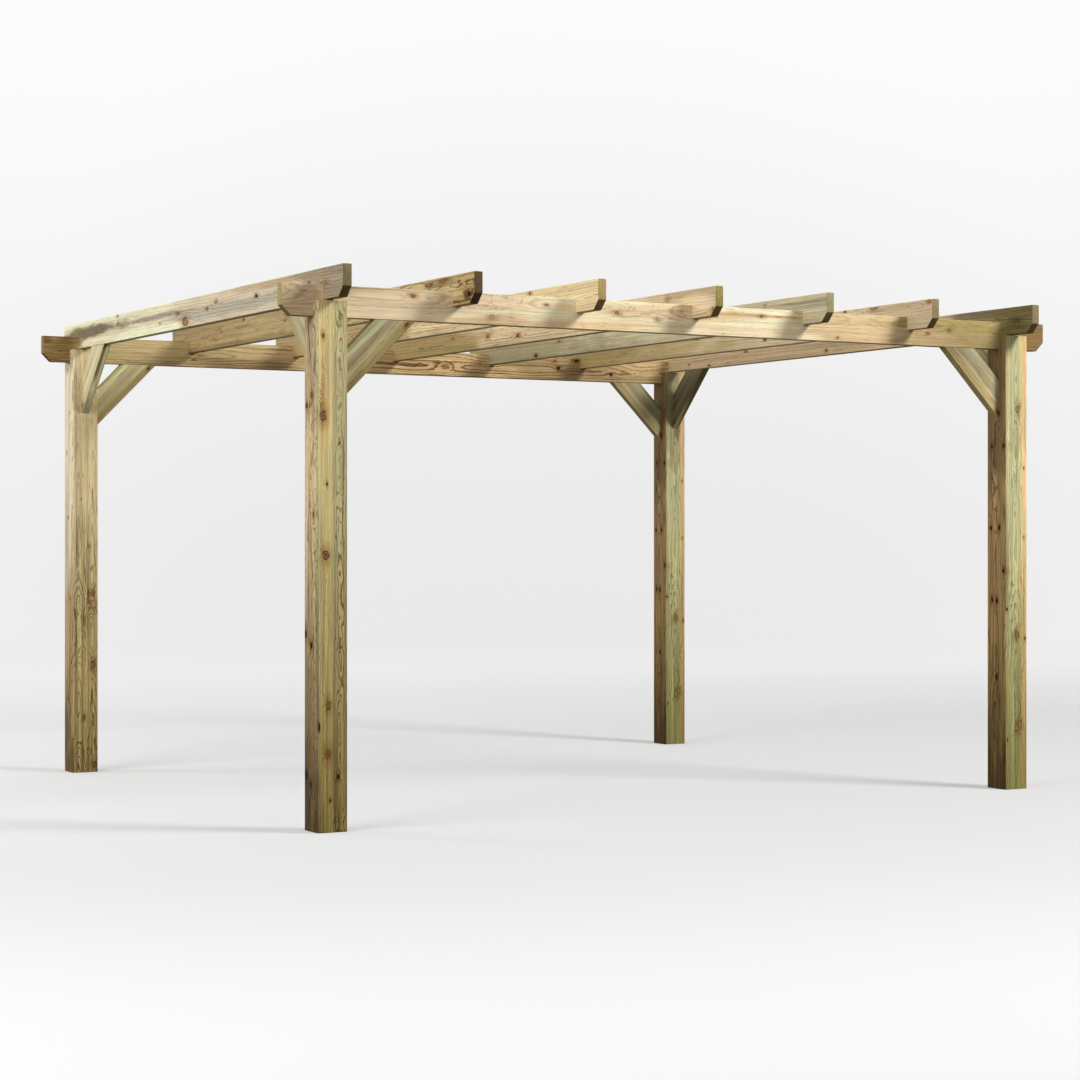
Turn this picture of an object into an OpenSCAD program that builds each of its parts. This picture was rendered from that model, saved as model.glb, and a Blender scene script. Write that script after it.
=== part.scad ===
// Wooden garden pergola: four square posts carry two beams, seven rafters lie
// across the beams, and eight diagonal braces stiffen the corners.
//
// The frame stands on level ground at z = 0. The origin is midway between the
// four posts, +X runs along the beams, +Y from the front beam to the back one
// and +Z points up. All sizes are in millimetres.

/* [Posts] */
// Width of a square post
post_w = 145; // [120:1:200]
// Distance between post centres along the beams
span_x = 3940; // [2400:5:4800]
// Distance between post centres along the rafters
span_y = 3315; // [2000:5:4200]
// Gap between a post's top and the rafter over it
post_gap = 5; // [0:1:15]

/* [Beams] */
// Height of a beam's underside above the ground
beam_underside = 2310; // [1800:5:2800]
// Depth of a beam, top to bottom
beam_depth = 145; // [115:1:200]
// Thickness of a beam, front to back
beam_thick = 44; // [28:1:60]
// How far a beam runs past a post's outer face
beam_overhang = 155; // [80:1:300]

/* [Rafters] */
// Depth of a rafter, top to bottom
rafter_depth = 145; // [115:1:200]
// Thickness of a rafter, side to side
rafter_thick = 44; // [28:1:60]
// How far a rafter runs past a post's outer face
rafter_overhang = 155; // [80:1:300]
// How far a rafter drops over a beam, half cut from each of them
lap = 68; // [20:2:90]

/* [Braces] */
// Width of a brace, across its grain
brace_w = 145; // [90:1:180]
// Thickness of a brace
brace_thick = 44; // [28:1:60]
// Distance from the inside corner to the brace's lower edge, along each timber
brace_reach = 365; // [300:1:520]

/* [Edges and joints] */
// Height and length of the slanted cut under each beam and rafter end
end_cut = 47; // [20:1:70]
// Radius of the eased long edges
ease_r = 4; // [1:0.5:8]
// Clearance on each side of a board in its notch or slot
joint_clear = 0.5; // [0:0.1:2]

/* [Hidden] */

// Sides of the frame, as multipliers of x and y
LEFT = -1;
RIGHT = 1;
FRONT = -1;
BACK = 1;

rafter_count = 7;
rafter_pitch = span_x / (rafter_count - 1);

beam_top = beam_underside + beam_depth;
rafter_underside = beam_top - lap;
post_top = rafter_underside - post_gap;

beam_length = span_x + post_w + 2 * beam_overhang;
rafter_length = span_y + post_w + 2 * rafter_overhang;

// How far a cutting shape runs past the face that it opens
past = 1;
$fn = 48;

// Section of a planed timber with its four edges eased, centred on the origin
module planed_section(width, height) {
    square([width - 2 * ease_r, height], center = true);
    square([width, height - 2 * ease_r], center = true);
    for (sx = [-1, 1], sy = [-1, 1])
        translate([sx * (width / 2 - ease_r), sy * (height / 2 - ease_r)])
            circle(r = ease_r);
}

// Timber standing along Z from z = 0
module upright(width, height)
    linear_extrude(height) planed_section(width, width);

// Board on edge along X, centred on the origin, underside at z = 0
module board_x(length, depth, thick)
    translate([0, 0, depth / 2]) rotate([90, 0, 90])
        linear_extrude(length, center = true) planed_section(thick, depth);

// Wedge that takes the lower corner off a board end, around that corner
module corner_wedge(thick)
    rotate([0, 45, 0])
        cube([end_cut * sqrt(2), thick + 2 * past, end_cut * sqrt(2)], center = true);

// Board on edge along X with the slanted cut under both ends
module rail(length, depth, thick)
    difference() {
        board_x(length, depth, thick);
        for (s = [-1, 1])
            translate([s * length / 2, 0, 0]) corner_wedge(thick);
    }

// Cutting block centred on x = y = 0, from its own z = 0 upward
module notch(along, across, height)
    translate([-along / 2, -across / 2, 0]) cube([along, across, height]);

// Square post, forked at the top where the beam lies through it
module post(side_x, side_y)
    color([0.74, 0.70, 0.50])
        translate([side_x * span_x / 2, side_y * span_y / 2, 0])
            difference() {
                upright(post_w, post_top);
                translate([0, 0, beam_underside])
                    notch(post_w + 2 * past, beam_thick + 2 * joint_clear,
                          post_top - beam_underside + past);
            }

// Beam along X, notched from above under each rafter
module beam(side_y)
    color([0.80, 0.71, 0.52])
        translate([0, side_y * span_y / 2, beam_underside])
            difference() {
                rail(beam_length, beam_depth, beam_thick);
                for (n = [1 : rafter_count])
                    translate([(n - 1) * rafter_pitch - span_x / 2, 0, beam_depth - lap / 2])
                        notch(rafter_thick + 2 * joint_clear, beam_thick + 2 * past,
                              lap / 2 + past);
            }

// Rafter along Y, notched from below over each beam; the first and last lie over the posts
module rafter(n)
    color([0.73, 0.70, 0.51])
        translate([(n - 1) * rafter_pitch - span_x / 2, 0, rafter_underside])
            rotate([0, 0, 90])
                difference() {
                    rail(rafter_length, rafter_depth, rafter_thick);
                    for (s = [FRONT, BACK])
                        translate([s * span_y / 2, 0, -past])
                            notch(beam_thick + 2 * joint_clear, rafter_thick + 2 * past,
                                  lap / 2 + past);
                }

// Brace in the XZ plane: the inside corner is at the origin, the post is on the
// -X side and the timber overhead is on the +Z side. Both ends are mitred to lie
// flat on them.
module corner_brace()
    color([0.62, 0.60, 0.43])
        intersection() {
            rotate([0, -45, 0])
                translate([0, 0, -brace_reach / sqrt(2)])
                    board_x(2 * brace_reach, brace_w, brace_thick);
            translate([0, -brace_thick, -brace_reach - past])
                cube([brace_reach + past, 2 * brace_thick, brace_reach + past]);
        }

// Brace between a post and its beam
module beam_brace(side_x, side_y)
    translate([side_x * (span_x - post_w) / 2, side_y * span_y / 2, beam_underside])
        rotate([0, 0, side_x == LEFT ? 0 : 180])
            corner_brace();

// Brace between a post and the end rafter over it
module rafter_brace(side_x, side_y)
    translate([side_x * span_x / 2, side_y * (span_y - post_w) / 2, rafter_underside])
        rotate([0, 0, side_y == FRONT ? 90 : -90])
            corner_brace();

post(LEFT, FRONT);  // post_front_left
post(RIGHT, FRONT);  // post_front_right
post(LEFT, BACK);  // post_back_left
post(RIGHT, BACK);  // post_back_right

beam(FRONT);  // beam_front
beam(BACK);  // beam_back

rafter(1);  // rafter_1
rafter(2);  // rafter_2
rafter(3);  // rafter_3
rafter(4);  // rafter_4
rafter(5);  // rafter_5
rafter(6);  // rafter_6
rafter(7);  // rafter_7

beam_brace(LEFT, FRONT);  // brace_front_left_beam
beam_brace(RIGHT, FRONT);  // brace_front_right_beam
beam_brace(LEFT, BACK);  // brace_back_left_beam
beam_brace(RIGHT, BACK);  // brace_back_right_beam

rafter_brace(LEFT, FRONT);  // brace_front_left_rafter
rafter_brace(RIGHT, FRONT);  // brace_front_right_rafter
rafter_brace(LEFT, BACK);  // brace_back_left_rafter
rafter_brace(RIGHT, BACK);  // brace_back_right_rafter
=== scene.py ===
# %% [markdown]
# # A wooden pergola
#
# The real pergola is twenty-one pieces of planed, pressure-treated softwood and nothing
# else. Its shape is simple, so its looks come from the wood: growth rings that run right
# through each timber, knots, green-tinted sapwood beside pinkish heartwood, darker end
# grain, eased ends and drying cracks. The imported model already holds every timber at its
# real place. This script loads it, eases and cracks the timbers, and gives each its wood.

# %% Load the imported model
import math
import random

import bpy
from mathutils import Matrix, Vector


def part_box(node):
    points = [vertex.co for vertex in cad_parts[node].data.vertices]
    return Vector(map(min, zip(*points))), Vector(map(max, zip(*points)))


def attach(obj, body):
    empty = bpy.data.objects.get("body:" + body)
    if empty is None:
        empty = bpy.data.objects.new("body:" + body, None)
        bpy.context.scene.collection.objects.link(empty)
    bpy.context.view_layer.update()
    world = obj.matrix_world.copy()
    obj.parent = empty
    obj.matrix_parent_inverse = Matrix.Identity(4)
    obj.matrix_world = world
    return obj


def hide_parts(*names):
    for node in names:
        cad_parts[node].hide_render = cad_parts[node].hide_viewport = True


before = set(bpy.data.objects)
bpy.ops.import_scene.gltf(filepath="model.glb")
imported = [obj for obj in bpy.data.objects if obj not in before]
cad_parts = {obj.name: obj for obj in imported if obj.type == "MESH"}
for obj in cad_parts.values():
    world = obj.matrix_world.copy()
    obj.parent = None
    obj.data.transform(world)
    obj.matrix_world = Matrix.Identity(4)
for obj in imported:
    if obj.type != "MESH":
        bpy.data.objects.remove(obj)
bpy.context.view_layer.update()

timbers = sorted(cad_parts)


# %% [markdown]
# ## Reading sizes from the model
#
# Nothing is placed by eye. A timber's box gives its centre and its length, and every
# pattern is laid out from those, so that the wood follows if the frame changes. A timber
# has axes of its own: x runs along the grain, y across its thickness and z across its
# width. For a post y is the frame's left to right and z its front to back.

# %% Box and axes of a timber
ALONG_X = Matrix(((1, 0, 0), (0, 1, 0), (0, 0, 1))).transposed()
ALONG_Y = Matrix(((0, 1, 0), (-1, 0, 0), (0, 0, 1))).transposed()
ALONG_Z = Matrix(((0, 0, 1), (1, 0, 0), (0, 1, 0))).transposed()
HALF = math.sqrt(0.5)


def family(node):
    return node.split("_")[0]


def grain_axes(node):
    """Directions of length, thickness and width, as the columns of a matrix."""
    if family(node) != "brace":
        return {"post": ALONG_Z, "beam": ALONG_X, "rafter": ALONG_Y}[family(node)]
    if node.endswith("beam"):
        side = 1 if "left" in node else -1
        return Matrix(((side * HALF, 0, HALF), (0, side, 0), (-HALF, 0, side * HALF))).transposed()
    side = 1 if "front" in node else -1
    return Matrix(((0, side * HALF, HALF), (-side, 0, 0), (0, -HALF, side * HALF))).transposed()


def centre(node):
    low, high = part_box(node)
    return (Vector(low) + Vector(high)) / 2


def half_size(node):
    """Half the length, thickness and width of a timber."""
    turn, middle = grain_axes(node).transposed(), centre(node)
    corners = [turn @ (v.co - middle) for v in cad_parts[node].data.vertices]
    return Vector([max(abs(c[axis]) for c in corners) for axis in range(3)])


def to_frame(node, point):
    """A place given on the timber's own axes, as a place in the frame."""
    return centre(node) + grain_axes(node) @ Vector(point)


for node in ("post_front_left", "beam_front", "rafter_1", "brace_front_left_beam"):
    print(node, "half size", [round(v, 4) for v in half_size(node)])

# %% [markdown]
# ## Camera
#
# The camera stands low, a little above the height of a child's eyes, and looks level, so
# the roof is seen from slightly below. Its lens is long, which keeps the posts parallel.

# %% Camera
CAMERA_PLACE = (-6.637, -11.854, 1.309)
CAMERA_TURN = math.radians(29.52)
CAMERA_LENS = 82.8

camera_data = bpy.data.cameras.new("camera")
camera_data.lens = CAMERA_LENS
camera_data.sensor_width = 36
camera_data.clip_end = 200
camera = bpy.data.objects.new("camera", camera_data)
camera.location = CAMERA_PLACE
camera.rotation_euler = (math.radians(90), 0, -CAMERA_TURN)
bpy.context.scene.collection.objects.link(camera)
bpy.context.scene.camera = camera
bpy.context.scene.view_settings.view_transform = "Standard"
print("camera at", CAMERA_PLACE)


# %% [markdown]
# ## Small helpers for node trees
#
# Wood is built from many small sums, so these helpers write one node a line and take
# either a number or another node's socket. The result reads like the formula it makes.

# %% Node helpers
def plug(tree, socket, value):
    if isinstance(value, bpy.types.NodeSocket):
        tree.links.new(value, socket)
    elif value is not None:
        socket.default_value = value


def calc(tree, operation, *values):
    node = tree.nodes.new("ShaderNodeMath")
    node.operation = operation
    for socket, value in zip(node.inputs, values):
        plug(tree, socket, value)
    return node.outputs[0]


def times(tree, first, second):
    return calc(tree, "MULTIPLY", first, second)


def vector(tree, operation, *values, scale=None):
    node = tree.nodes.new("ShaderNodeVectorMath")
    node.operation = operation
    for socket, value in zip(node.inputs, values):
        plug(tree, socket, value)
    if scale is not None:
        plug(tree, node.inputs["Scale"], scale)
    name = "Value" if operation in ("LENGTH", "DOT_PRODUCT", "DISTANCE") else "Vector"
    return node.outputs[name]


def ramp(tree, value, low, high, out_low=0.0, out_high=1.0):
    node = tree.nodes.new("ShaderNodeMapRange")
    node.interpolation_type = "SMOOTHSTEP"
    for socket, number in zip(node.inputs, (value, low, high, out_low, out_high)):
        plug(tree, socket, number)
    return node.outputs["Result"]


def noise(tree, point, stretch, detail=1.0, roughness=0.5):
    """Smooth noise from about -0.5 to 0.5, with so many waves per metre on each axis."""
    node = tree.nodes.new("ShaderNodeTexNoise")
    plug(tree, node.inputs["Vector"], vector(tree, "MULTIPLY", point, stretch))
    node.inputs["Scale"].default_value = 1.0
    node.inputs["Detail"].default_value = detail
    node.inputs["Roughness"].default_value = roughness
    return calc(tree, "SUBTRACT", node.outputs["Fac"], 0.5)


def mix(tree, factor, first, second, blend="MIX"):
    node = tree.nodes.new("ShaderNodeMix")
    node.data_type = "RGBA"
    node.blend_type = blend
    plug(tree, node.inputs["Factor"], factor)
    plug(tree, node.inputs["A"], first)
    plug(tree, node.inputs["B"], second)
    return node.outputs["Result"]


def group(name, inputs, outputs):
    tree = bpy.data.node_groups.new(name, "ShaderNodeTree")
    for label, kind in inputs.items():
        tree.interface.new_socket(label, in_out="INPUT", socket_type="NodeSocket" + kind)
    for label, kind in outputs.items():
        tree.interface.new_socket(label, in_out="OUTPUT", socket_type="NodeSocket" + kind)
    way_in = tree.nodes.new("NodeGroupInput")
    way_out = tree.nodes.new("NodeGroupOutput")
    return tree, way_in.outputs, way_out.inputs


def use(tree, effect, **values):
    node = tree.nodes.new("ShaderNodeGroup")
    node.node_tree = effect
    for label, value in values.items():
        plug(tree, node.inputs[label.replace("_", " ")], value)
    return node.outputs


def paint(red, green, blue):
    """A colour picked as eight-bit screen values, as the linear values that nodes take."""
    def linear(part):
        part = min(part, 255) / 255
        return part / 12.92 if part <= 0.04045 else ((part + 0.055) / 1.055) ** 2.4
    return (linear(red), linear(green), linear(blue), 1.0)


print("middle grey is", round(paint(128, 128, 128)[0], 3), "linear")

# %% [markdown]
# ## Growth rings
#
# A timber is a box cut out of a log, so its grain is one solid pattern: rings round the
# pith, which lies somewhere in or beside the timber. Where a face cuts the rings at a low
# angle the rings spread into tall arches, and where it cuts them square they are fine
# straight lines. Measuring the distance from the pith in three dimensions gives both, and
# gives the arcs on the end grain too. A flat image of grain would not match at the edges.
#
# The log is never quite straight, so slow noise along the length sways the distance,
# and faster noise makes the lines wander. Knots push the rings outwards. A face can show
# two rows of arches, so there is room for a second pith.

# %% Effect: growth rings
rings, i, o = group(
    "growth rings",
    {"Point": "Vector", "Pith": "Vector", "Twin": "Vector", "Ring Width": "Float",
     "Sway": "Float", "Figure": "Float", "Taper": "Float", "Push": "Float", "Shift": "Vector"},
    {"Latewood": "Float"})
place = vector(rings, "ADD", i["Point"], i["Shift"])
sideways = vector(rings, "MULTIPLY", i["Point"], (0, 1, 1))
distance = calc(rings, "MINIMUM", vector(rings, "DISTANCE", sideways, i["Pith"]),
                vector(rings, "DISTANCE", sideways, i["Twin"]))
sway = noise(rings, place, (0.9, 4.0, 4.0))
curls = noise(rings, place, (6.0, 24.0, 24.0), detail=2.0)
sway = calc(rings, "MULTIPLY_ADD", curls, i["Figure"], sway)
sway = calc(rings, "MULTIPLY_ADD", noise(rings, place, (42.0, 150.0, 150.0)), 0.025, sway)
distance = calc(rings, "MULTIPLY_ADD", sway, i["Sway"], distance)
along = vector(rings, "DOT_PRODUCT", i["Point"], (1, 0, 0))
distance = calc(rings, "MULTIPLY_ADD", along, i["Taper"], distance)
count = calc(rings, "DIVIDE", calc(rings, "ADD", distance, i["Push"]), i["Ring Width"])
uneven = rings.nodes.new("ShaderNodeTexNoise")
uneven.noise_dimensions = "1D"
uneven.inputs["Scale"].default_value = 0.35
uneven.inputs["Detail"].default_value = 1.0
plug(rings, uneven.inputs["W"], count)
year = calc(rings, "FRACT", calc(rings, "MULTIPLY_ADD", uneven.outputs["Fac"], 2.2, count))
dark = times(rings, ramp(rings, year, 0.55, 0.9), ramp(rings, year, 0.94, 1.0, 1.0, 0.0))
strength = ramp(rings, uneven.outputs["Fac"], 0.35, 0.62, 0.55, 1.0)
plug(rings, o["Latewood"], times(rings, dark, strength))
print("growth rings:", len(rings.nodes), "nodes")

# %% [markdown]
# ## Knots
#
# A knot is a branch that the trunk grew round: a round rod that runs outwards from the
# pith. Where it meets a face it shows as an oval with rings of its own and a dark rim, the
# wood round it is darker, and the trunk's rings swell past it. One knot is one use of this
# effect, and several are chained: each adds to what came before.

# %% Effect: one knot
knot, i, o = group(
    "knot",
    {"Point": "Vector", "Wobble": "Float", "Start": "Vector", "Heading": "Vector",
     "Radius": "Float", "Stretch": "Float", "Tone": "Float", "Inside": "Color", "Rim": "Color",
     "Push": "Float", "Cover": "Float", "Paint": "Color", "Halo": "Float"},
    {"Push": "Float", "Cover": "Float", "Paint": "Color", "Halo": "Float"})
reach = vector(knot, "SUBTRACT", i["Point"], i["Start"])
travel = vector(knot, "DOT_PRODUCT", reach, i["Heading"])
outside = ramp(knot, travel, -0.004, 0.004)
aside = vector(knot, "SUBTRACT", reach, vector(knot, "SCALE", i["Heading"], scale=travel))


def widths_away(share):
    """How many knot radii away a point lies, with the oval drawn out along the grain."""
    squeeze = times(knot, i["Stretch"], share)
    slender = knot.nodes.new("ShaderNodeCombineXYZ")
    plug(knot, slender.inputs["X"], squeeze)
    plug(knot, slender.inputs["Y"], 1.0)
    plug(knot, slender.inputs["Z"], 1.0)
    off = vector(knot, "LENGTH", vector(knot, "MULTIPLY", aside, slender.outputs[0]))
    return calc(knot, "MULTIPLY_ADD", i["Wobble"], 1.1, calc(knot, "DIVIDE", off, i["Radius"]))


off = widths_away(1.0)
core = times(knot, ramp(knot, off, 0.85, 1.15, 1.0, 0.0), outside)
rim = ramp(knot, off, 0.55, 0.8)
heart = ramp(knot, off, 0.1, 0.35, 0.8, 0.0)
own_rings = ramp(knot, calc(knot, "FRACT", times(knot, off, 2.7)), 0.4, 0.95, 0.0, 0.45)
inside = calc(knot, "MAXIMUM", calc(knot, "MAXIMUM", rim, own_rings), heart)
inside = mix(knot, inside, i["Inside"], i["Rim"])
plug(knot, o["Paint"], mix(knot, core, i["Paint"], inside))
plug(knot, o["Cover"], calc(knot, "MAXIMUM", times(knot, core, i["Tone"]), i["Cover"]))
halo = times(knot, ramp(knot, widths_away(0.6), 0.7, 2.6, 1.0, 0.0), outside)
plug(knot, o["Halo"], calc(knot, "MAXIMUM", times(knot, halo, i["Tone"]), i["Halo"]))
swell = widths_away(0.5)
swell = calc(knot, "EXPONENT", times(knot, times(knot, swell, swell), -0.25))
swell = times(knot, times(knot, swell, i["Radius"]), outside)
plug(knot, o["Push"], calc(knot, "MULTIPLY_ADD", swell, 1.3, i["Push"]))
print("one knot:", len(knot.nodes), "nodes")

# %% [markdown]
# ## Patches of another tone
#
# The green preservative soaks into sapwood and stays out of heartwood, so one timber can
# be straw on one side, olive on another and pinkish brown or orange between. Blue-grey
# stain comes the same way. Each such patch is a soft-edged region with its own early and
# late wood. A region that is far longer than the timber is a stripe or a whole side.

# %% Effect: patch of another tone
patch, i, o = group(
    "patch of tone",
    {"Point": "Vector", "Ragged": "Float", "Centre": "Vector", "Size": "Vector",
     "Edge": "Float", "Amount": "Float", "Early": "Color", "Late": "Color",
     "Patch Early": "Color", "Patch Late": "Color"},
    {"Early": "Color", "Late": "Color"})
reach = vector(patch, "DIVIDE", vector(patch, "SUBTRACT", i["Point"], i["Centre"]), i["Size"])
off = calc(patch, "SUBTRACT", vector(patch, "LENGTH", reach), 1.0)
off = calc(patch, "DIVIDE", off, i["Edge"])
off = calc(patch, "MULTIPLY_ADD", i["Ragged"], 5.0, off)
there = times(patch, ramp(patch, off, -1.0, 1.0, 1.0, 0.0), i["Amount"])
plug(patch, o["Early"], mix(patch, there, i["Early"], i["Patch Early"]))
plug(patch, o["Late"], mix(patch, there, i["Late"], i["Patch Late"]))
print("one patch:", len(patch.nodes), "nodes")

# %% [markdown]
# ## Colour of treated softwood
#
# Late wood is darker than early wood, broad clouds and fine fibres vary the tone, knots
# darken the wood round them, a post is darker towards the ground, partly as its damp foot's
# own tone and partly as painted shade, and sawn ends drink more. Undersides and slanted cuts
# are painted darkest, as painted shade. All of it goes into one effect.

# %% Effect: colour of the wood
tint, i, o = group(
    "treated softwood",
    {"Point": "Vector", "Shift": "Vector", "Latewood": "Float", "Cover": "Float",
     "Paint": "Color", "Halo": "Float", "End Grain": "Float", "Early": "Color",
     "Late": "Color", "Grain": "Float", "Blotch": "Float", "Wet": "Float", "Foot": "Color",
     "End": "Color", "Underside": "Float"},
    {"Color": "Color", "Fibre": "Float", "Height": "Float"})
place = vector(tint, "ADD", i["Point"], i["Shift"])
fibre = noise(tint, place, (9.0, 330.0, 330.0), detail=2.0)
streak = noise(tint, place, (1.3, 75.0, 75.0), detail=2.0)
patchy = noise(tint, place, (1.5, 9.0, 9.0), detail=2.0)
cloud = noise(tint, place, (2.6, 11.0, 11.0), detail=3.0, roughness=0.6)
late = times(tint, i["Latewood"], ramp(tint, patchy, -0.25, 0.15, 0.45, 1.0))
late = times(tint, late, i["Grain"])
wood = mix(tint, late, i["Early"], i["Late"])
# Darker towards a post's foot: partly the damp wood's own tone, partly painted shade.
damp_and_shade = ramp(tint, vector(tint, "DOT_PRODUCT", i["Point"], (1, 0, 0)), -1.35, 0.65, 1.0, 0.0)
damp_and_shade = times(tint, damp_and_shade, i["Wet"])
tone = calc(tint, "MULTIPLY_ADD", cloud, i["Blotch"], 1.0)
tone = calc(tint, "MULTIPLY_ADD", streak, calc(tint, "ADD", damp_and_shade, i["Grain"]), tone)
tone = calc(tint, "MULTIPLY_ADD", fibre, 0.45, tone)
wood = vector(tint, "SCALE", wood, scale=tone)
dashes = ramp(tint, noise(tint, place, (16.0, 190.0, 190.0), detail=2.0), 0.1, 0.2)
dashes = times(tint, dashes, ramp(tint, patchy, -0.15, 0.15, 0.2, 0.75))
wood = mix(tint, dashes, wood, mix(tint, 1.0, wood, paint(190, 176, 146), "MULTIPLY"))
warm = mix(tint, 1.0, wood, paint(204, 160, 116), "MULTIPLY")
wood = mix(tint, times(tint, i["Halo"], 0.65), wood, warm)
wood = mix(tint, i["Cover"], wood, i["Paint"])
sawn = mix(tint, times(tint, i["Latewood"], 0.5), i["End"], paint(90, 70, 40))
sawn = vector(tint, "SCALE", sawn, scale=tone)
wood = mix(tint, i["End Grain"], wood, sawn)
wood = mix(tint, damp_and_shade, wood, mix(tint, 1.0, wood, i["Foot"], "MULTIPLY"))
# Painted shade: faces that look downwards, undersides and slanted cuts, are darkened.
painted_underside_shade = mix(tint, 1.0, wood, paint(178, 166, 140), "MULTIPLY")
wood = mix(tint, i["Underside"], wood, painted_underside_shade)
plug(tint, o["Color"], wood)
plug(tint, o["Fibre"], fibre)
height = calc(tint, "MULTIPLY_ADD", fibre, 0.5, i["Latewood"])
plug(tint, o["Height"], calc(tint, "MULTIPLY_ADD", i["Cover"], -0.8, height))
print("treated softwood:", len(tint.nodes), "nodes")

# %% [markdown]
# ## The maker's words for wood
#
# Every timber comes from another tree, so each has a material of its own with the same
# effects and its own values. A tone is one average colour and how far its late wood
# stands out. Patches, stripes and knots are given on the timber's own axes in metres.
#
# A kind of knot is its inside, its rim, how strongly it shows and how far it is drawn
# out. A dead knot is dark, a curl or a loop is a tight swirl, a feather is a long fleck.
# An eye or an arch doesn't show itself: its branch lies under the face and only pushes
# the rings, which draws the ovals and tall arches of flat-sawn wood.

# %% Tones, patches and knots
# Larger than any timber: a patch without limits on an axis, and a place past both ends.
ANY = 50.0
FAR = 3.0
KNOT_KINDS = {
    "sound": ((134, 94, 64), (62, 40, 26), 0.9, 0.72),
    "dark": ((52, 30, 13), (22, 12, 4), 1.0, 0.65),
    "orange": ((184, 122, 72), (126, 76, 44), 0.8, 0.7),
    "pale": ((196, 190, 146), (104, 102, 76), 0.8, 0.8),
    "grey": ((132, 124, 100), (78, 66, 50), 0.8, 0.75),
    "loop": ((206, 184, 138), (142, 90, 50), 0.85, 0.6),
    "curl": ((172, 140, 92), (74, 48, 26), 0.9, 0.5),
    "feather": ((176, 156, 108), (78, 62, 36), 0.7, 0.15),
    "eye": ((150, 134, 92), (62, 50, 28), 0.0, 0.30),
    "arch": ((150, 134, 92), (62, 50, 28), 0.0, 0.75)}


def wood_tone(red, green, blue, depth=1.0):
    """Early and late wood of an average colour: the late wood is darker and browner."""
    early = paint(red * 1.06, green * 1.06, blue * 1.07)
    late = paint(red * (1 - 0.28 * depth), green * (1 - 0.32 * depth), blue * (1 - 0.42 * depth))
    return early, late


def spot(middle, size, tone, edge=0.35, amount=1.0):
    """A soft-edged ball of another tone, drawn out to a size on each axis."""
    early, late = wood_tone(*tone)
    return dict(Centre=middle, Size=size, Edge=edge, Amount=amount,
                Patch_Early=early, Patch_Late=late)


def through(along, across, reach, width, tone, edge=0.35, amount=1.0):
    """A patch that goes right through a board, so that it shows on both faces."""
    return spot((along, 0, across), (reach, ANY, width), tone, edge, amount)


def stripe(axis, low, high, tone, edge=0.004, amount=1.0):
    """A slab of wood between two places on one axis, soft over the given distance."""
    middle = [0.0, 0.0, 0.0]
    size = [ANY, ANY, ANY]
    middle["xyz".index(axis)] = (low + high) / 2
    size["xyz".index(axis)] = (high - low) / 2
    return spot(middle, size, tone, edge / ((high - low) / 2), amount)


def short_of(place, tone, edge, amount=1.0):
    """The wood from a timber's low end up to a place on it."""
    return stripe("x", -FAR, place, tone, edge, amount)


def past(place, tone, edge, amount=1.0):
    """The wood from a place on a timber to its high end."""
    return stripe("x", place, FAR, tone, edge, amount)


def branch(face, along, across, radius, kind="sound", lean=0.25):
    """A knot that comes out on the y-, y+, z- or z+ face."""
    return face, along, across, radius, kind, lean


def on(face, *places):
    """Knots that come out on one face, each as along, across, radius, kind and lean."""
    return [branch(face, *place) for place in places]


PLAIN = dict(
    twin=(9.0, 9.0), rings=0.0095, sway=0.05, figure=0.25, taper=0.004, grain=0.8, blotch=0.4,
    foot=(255, 255, 255), end=(160, 145, 98))
print(len(KNOT_KINDS), "kinds of knot")

# %% [markdown]
# ## One timber's material
#
# The material turns the frame's coordinates onto the timber's axes, chains its knots and
# its patches, grows the rings round its pith and paints the result. The shader itself
# stays here, outside the groups. Colour, roughness and a faint bump come from the same
# rings, so they agree. Outdoor wood is dull, hence the low specular level. A knot's rod
# starts some centimetres inside its face, so in a thin board it comes out on both.

# %% Node tree of one timber's wood
SPECULAR = 0.12
ROUGH_LOW, ROUGH_HIGH = 0.62, 0.8
BUMP_DEPTH = 0.0006
ROOT_IN_BOARD, ROOT_IN_POST = 0.09, 0.05


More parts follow.
